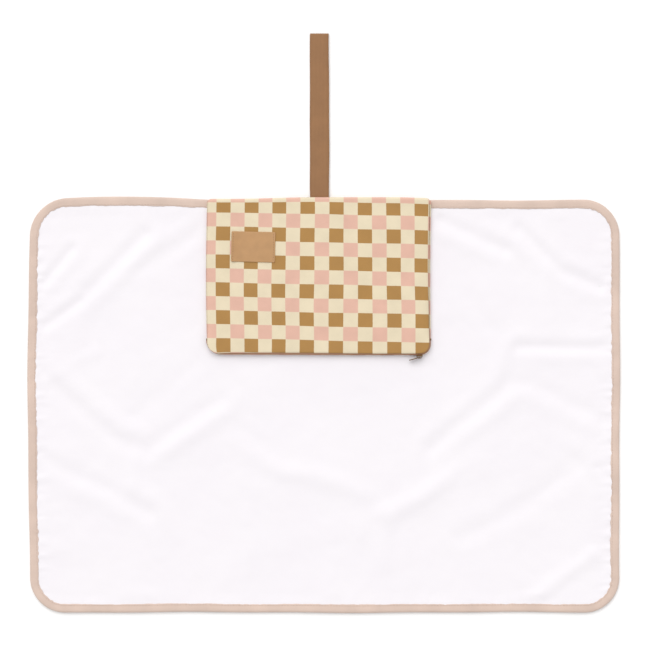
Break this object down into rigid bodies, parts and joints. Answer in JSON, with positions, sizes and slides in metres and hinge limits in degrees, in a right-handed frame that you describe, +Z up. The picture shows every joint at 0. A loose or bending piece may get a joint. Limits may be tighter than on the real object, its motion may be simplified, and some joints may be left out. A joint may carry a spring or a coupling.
{
  "type": "changing pad",
  "caption": "Thin padded travel changing pad with bound edges, folding side flaps, a hinged zipped pouch and an elastic closing loop.",
  "frame": {"origin": "centre of the mat's flat underside, with the mat lying open", "axes": "+X to the right along the mat's width, +Y towards the edge with the pouch and the elastic loop, +Z up out of the mat's top"},
  "size_m": [0.7, 0.688, 0.0126],
  "materials": {
    "white_cloth": "smooth wipeable cloth",
    "wadding": "soft fibre wadding",
    "check_cloth": "woven cloth printed with brown, pink and cream squares",
    "lining": "plain weave",
    "binding": "bias-cut plain weave",
    "zip_tape": "close woven tape",
    "zip_coil": "satin nylon coil",
    "bronze": "antique bronze",
    "leather": "smooth matt leather",
    "thread": "polyester thread",
    "elastic": "ribbed woven elastic"
  },
  "bodies": {
    "mat_centre": {"mat_top_cloth_centre": "white_cloth", "mat_wadding_centre": "wadding", "mat_back_cloth_centre": "check_cloth", "binding_top_centre": "binding", "binding_bottom_centre": "binding", "pouch_hinge_strip": "check_cloth", "strap_anchor": "elastic"},
    "left_flap": {"mat_top_cloth_left": "white_cloth", "mat_wadding_left": "wadding", "mat_back_cloth_left": "check_cloth", "binding_left": "binding"},
    "right_flap": {"mat_top_cloth_right": "white_cloth", "mat_wadding_right": "wadding", "mat_back_cloth_right": "check_cloth", "binding_right": "binding"},
    "pouch": {"pouch_top_fold": "check_cloth", "pouch_front_panel": "check_cloth", "pouch_front_lining": "lining", "pouch_back_panel": "check_cloth", "pouch_back_lining": "lining", "pouch_left_seam": "lining", "pouch_right_seam": "lining", "zip_tape_front": "zip_tape", "zip_tape_back": "zip_tape", "zip_coil_front": "zip_coil", "zip_coil_back": "zip_coil", "zip_bottom_stop": "bronze", "zip_top_stops": "bronze", "label_patch": "leather", "label_stitches": "thread"},
    "slider": {"zip_slider": "bronze"},
    "pull_tab": {"zip_pull_tab": "bronze"},
    "elastic_loop": {"strap_loop": "elastic"}
  },
  "joints": [
    {"name": "left_fold", "type": "hinge", "parent": "mat_centre", "child": "left_flap", "pos_m": [-0.146, 0, 0.0096], "axis": [0, 1, 0], "range_deg": [0, 179]},
    {"name": "right_fold", "type": "hinge", "parent": "mat_centre", "child": "right_flap", "pos_m": [0.131, 0, 0.0136], "axis": [0, -1, 0], "range_deg": [0, 179]},
    {"name": "pouch_flip", "type": "hinge", "parent": "mat_centre", "child": "pouch", "pos_m": [-0.0075, 0.245, 0.0082], "axis": [-1, 0, 0], "range_deg": [0, 179]},
    {"name": "loop_swing", "type": "hinge", "parent": "mat_centre", "child": "elastic_loop", "pos_m": [-0.0065, 0.246, 0.0076], "axis": [-1, 0, 0], "range_deg": [-179, 0]},
    {"name": "slider_travel", "type": "slide", "parent": "pouch", "child": "slider", "axis": [-1, 0, 0], "range_m": [0, 0.226]},
    {"name": "pull_swing", "type": "hinge", "parent": "slider", "child": "pull_tab", "pos_m": [0.1132, 0.0582, 0.0082], "axis": [0, 0, 1], "range_deg": [-15, 150]}
  ]
}
